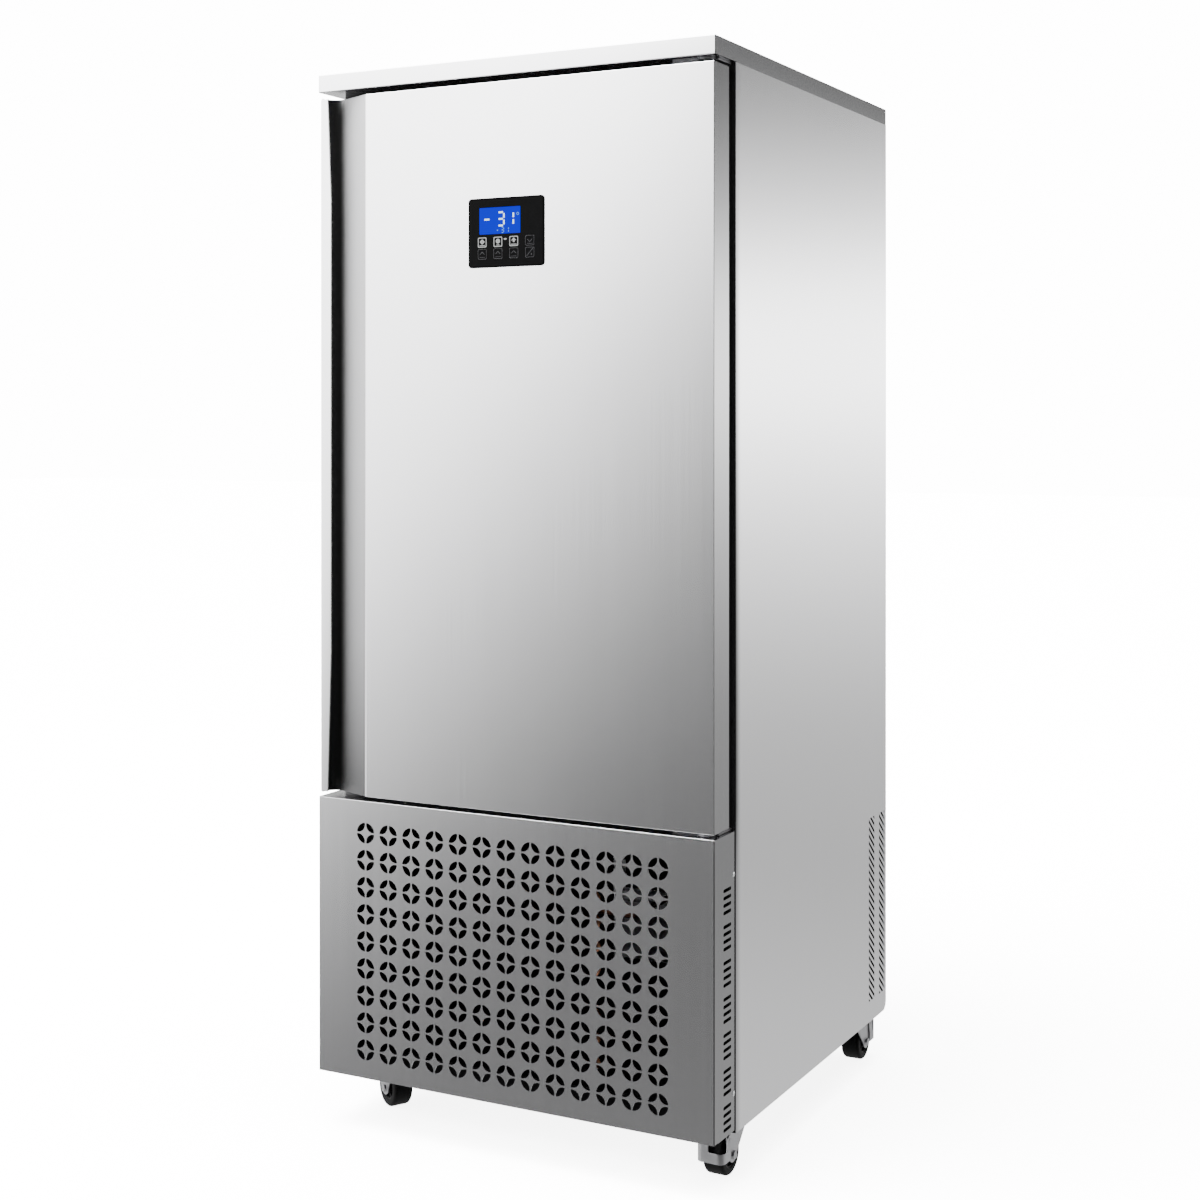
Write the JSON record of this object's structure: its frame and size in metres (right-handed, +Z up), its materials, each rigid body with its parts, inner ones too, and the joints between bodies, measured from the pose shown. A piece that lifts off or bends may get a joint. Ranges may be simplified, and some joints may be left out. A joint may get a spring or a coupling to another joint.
{
  "type": "blast chiller",
  "caption": "Upright stainless steel blast chiller: one insulated door with a full-height finger recess and control panel over a pierced machine-bay panel, on swivel casters.",
  "frame": {"origin": "centre of the cabinet's footprint, on the floor that the casters stand on", "axes": "+Z up; the door faces -Y; +X to the right of a person facing the door"},
  "size_m": [0.8, 0.85, 1.93],
  "materials": {
    "stainless": "satin",
    "galvanised": "satin",
    "foam": "matte",
    "dark_frame": "satin",
    "screw_steel": "polished",
    "black_plastic": "matte",
    "black_gloss": "gloss",
    "key_black": "gloss",
    "display": "gloss",
    "fin_aluminium": "satin",
    "black_enamel": "satin",
    "rubber_black": "matte",
    "copper": "satin",
    "bush_plastic": "matte",
    "tyre_black": "matte"
  },
  "bodies": {
    "cabinet": {"top_cover": "stainless", "side_panel_left": "stainless", "side_panel_right": "stainless", "back_panel": "galvanised", "insulation_shell": "foam", "chamber_liner": "stainless", "front_frame": "dark_frame", "base_tray": "galvanised", "frame_posts": "galvanised", "front_grille": "stainless", "panel_screws": "screw_steel", "hinge_brackets": "galvanised", "tray_rack_left": "stainless", "tray_rack_right": "stainless", "fan_panel": "stainless", "fan_guards": "stainless", "chamber_fan_motors": "black_plastic", "evaporator_coil": "fin_aluminium", "drip_tray": "stainless", "compressor": "black_enamel", "compressor_feet": "rubber_black", "condenser_coil": "fin_aluminium", "condenser_shroud": "galvanised", "condenser_motor": "black_plastic", "liquid_receiver": "black_enamel", "filter_drier": "copper", "refrigerant_pipes": "copper", "electrical_box": "galvanised", "cable_gland": "black_plastic", "caster_plates": "galvanised"},
    "door": {"door_skin": "stainless", "door_foam": "foam", "door_liner": "stainless", "door_gasket": "rubber_black", "handle_lip": "stainless", "hinge_bushes": "bush_plastic", "control_housing": "black_plastic", "control_plate": "black_gloss", "lcd_window": "display"},
    "chamber_fan_low": {"chamber_fan_low": "black_plastic"},
    "chamber_fan_high": {"chamber_fan_high": "black_plastic"},
    "condenser_fan": {"condenser_fan": "black_plastic"},
    "key_1": {"key_1": "key_black"},
    "key_2": {"key_2": "key_black"},
    "key_3": {"key_3": "key_black"},
    "key_4": {"key_4": "key_black"},
    "key_5": {"key_5": "key_black"},
    "key_6": {"key_6": "key_black"},
    "key_7": {"key_7": "key_black"},
    "key_8": {"key_8": "key_black"},
    "fork_front_left": {"fork_front_left": "galvanised"},
    "wheel_front_left": {"wheel_front_left": "tyre_black"},
    "fork_front_right": {"fork_front_right": "galvanised"},
    "wheel_front_right": {"wheel_front_right": "tyre_black"},
    "brake_front_right": {"brake_front_right": "galvanised"},
    "fork_rear_left": {"fork_rear_left": "galvanised"},
    "wheel_rear_left": {"wheel_rear_left": "tyre_black"},
    "fork_rear_right": {"fork_rear_right": "galvanised"},
    "wheel_rear_right": {"wheel_rear_right": "tyre_black"},
    "brake_rear_right": {"brake_rear_right": "galvanised"}
  },
  "joints": [
    {"name": "door_hinge", "type": "hinge", "parent": "cabinet", "child": "door", "pos_m": [0.372, -0.398, 1.2], "axis": [0, 0, 1], "range_deg": [0, 110]},
    {"name": "chamber_fan_low_spin", "type": "hinge", "parent": "cabinet", "child": "chamber_fan_low", "pos_m": [0, 0.177, 0.9715], "axis": [0, 1, 0], "continuous": true},
    {"name": "chamber_fan_high_spin", "type": "hinge", "parent": "cabinet", "child": "chamber_fan_high", "pos_m": [0, 0.177, 1.5315], "axis": [0, 1, 0], "continuous": true},
    {"name": "condenser_fan_spin", "type": "hinge", "parent": "cabinet", "child": "condenser_fan", "pos_m": [-0.132, -0.198, 0.309], "axis": [0, 1, 0], "continuous": true},
    {"name": "key_1_press", "type": "slide", "parent": "door", "child": "key_1", "axis": [0, 1, 0], "range_m": [0, 0.0005], "stiffness_N_per_m": 1000},
    {"name": "key_2_press", "type": "slide", "parent": "door", "child": "key_2", "axis": [0, 1, 0], "range_m": [0, 0.0005], "stiffness_N_per_m": 1000},
    {"name": "key_3_press", "type": "slide", "parent": "door", "child": "key_3", "axis": [0, 1, 0], "range_m": [0, 0.0005], "stiffness_N_per_m": 1000},
    {"name": "key_4_press", "type": "slide", "parent": "door", "child": "key_4", "axis": [0, 1, 0], "range_m": [0, 0.0005], "stiffness_N_per_m": 1000},
    {"name": "key_5_press", "type": "slide", "parent": "door", "child": "key_5", "axis": [0, 1, 0], "range_m": [0, 0.0005], "stiffness_N_per_m": 1000},
    {"name": "key_6_press", "type": "slide", "parent": "door", "child": "key_6", "axis": [0, 1, 0], "range_m": [0, 0.0005], "stiffness_N_per_m": 1000},
    {"name": "key_7_press", "type": "slide", "parent": "door", "child": "key_7", "axis": [0, 1, 0], "range_m": [0, 0.0005], "stiffness_N_per_m": 1000},
    {"name": "key_8_press", "type": "slide", "parent": "door", "child": "key_8", "axis": [0, 1, 0], "range_m": [0, 0.0005], "stiffness_N_per_m": 1000},
    {"name": "swivel_front_left", "type": "hinge", "parent": "cabinet", "child": "fork_front_left", "pos_m": [-0.352, -0.264, 0.08], "axis": [0, 0, 1], "continuous": true},
    {"name": "roll_front_left", "type": "hinge", "parent": "fork_front_left", "child": "wheel_front_left", "pos_m": [-0.32775, -0.278, 0.036], "axis": [0.5, 0.866, 0], "continuous": true},
    {"name": "swivel_front_right", "type": "hinge", "parent": "cabinet", "child": "fork_front_right", "pos_m": [0.352, -0.264, 0.08], "axis": [0, 0, 1], "continuous": true},
    {"name": "roll_front_right", "type": "hinge", "parent": "fork_front_right", "child": "wheel_front_right", "pos_m": [0.35102, -0.29198, 0.036], "axis": [0.9994, -0.0349, 0], "continuous": true},
    {"name": "brake_front_right_press", "type": "hinge", "parent": "fork_front_right", "child": "brake_front_right", "pos_m": [0.3504, -0.30997, 0.068], "axis": [0.9994, -0.0349, 0], "range_deg": [0, 8]},
    {"name": "swivel_rear_left", "type": "hinge", "parent": "cabinet", "child": "fork_rear_left", "pos_m": [-0.352, 0.348, 0.08], "axis": [0, 0, 1], "continuous": true},
    {"name": "roll_rear_left", "type": "hinge", "parent": "fork_rear_left", "child": "wheel_rear_left", "pos_m": [-0.366, 0.37225, 0.036], "axis": [-0.866, -0.5, 0], "continuous": true},
    {"name": "swivel_rear_right", "type": "hinge", "parent": "cabinet", "child": "fork_rear_right", "pos_m": [0.352, 0.348, 0.08], "axis": [0, 0, 1], "continuous": true},
    {"name": "roll_rear_right", "type": "hinge", "parent": "fork_rear_right", "child": "wheel_rear_right", "pos_m": [0.352, 0.376, 0.036], "axis": [-1, 0, 0], "continuous": true},
    {"name": "brake_rear_right_press", "type": "hinge", "parent": "fork_rear_right", "child": "brake_rear_right", "pos_m": [0.352, 0.394, 0.068], "axis": [-1, 0, 0], "range_deg": [0, 8]}
  ]
}
